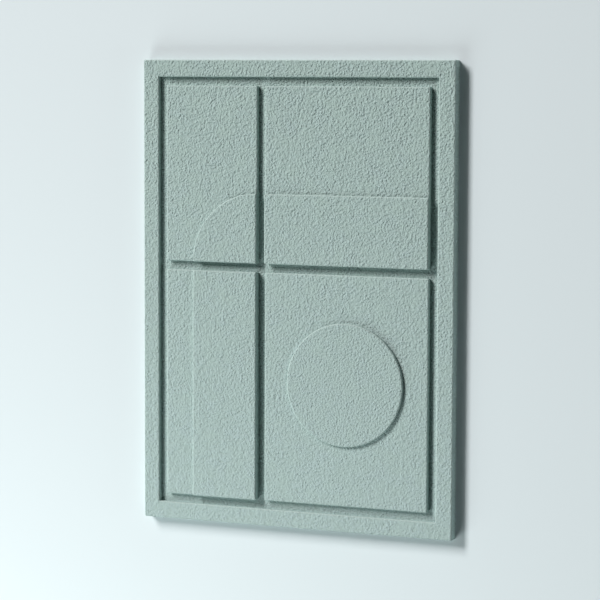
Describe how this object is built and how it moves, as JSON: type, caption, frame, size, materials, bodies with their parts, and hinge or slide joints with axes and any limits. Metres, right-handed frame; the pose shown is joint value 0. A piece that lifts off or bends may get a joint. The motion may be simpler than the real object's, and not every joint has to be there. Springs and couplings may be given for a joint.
{
  "type": "wall relief",
  "caption": "Rectangular cast plaster wall panel with a raised rim, fields parted by channels, a raised quarter-bend band and a raised disc, fixed by its flat back.",
  "frame": {"origin": "centre of the flat back face, which lies on the floor", "axes": "+X to the relief's right, +Y to its top edge, +Z out of its face"},
  "size_m": [0.5, 0.7, 0.023],
  "materials": {
    "plaster": "matt sage-green mineral plaster with a fine sand grain"
  },
  "bodies": {
    "root": {"relief_panel": "plaster"}
  },
  "joints": []
}
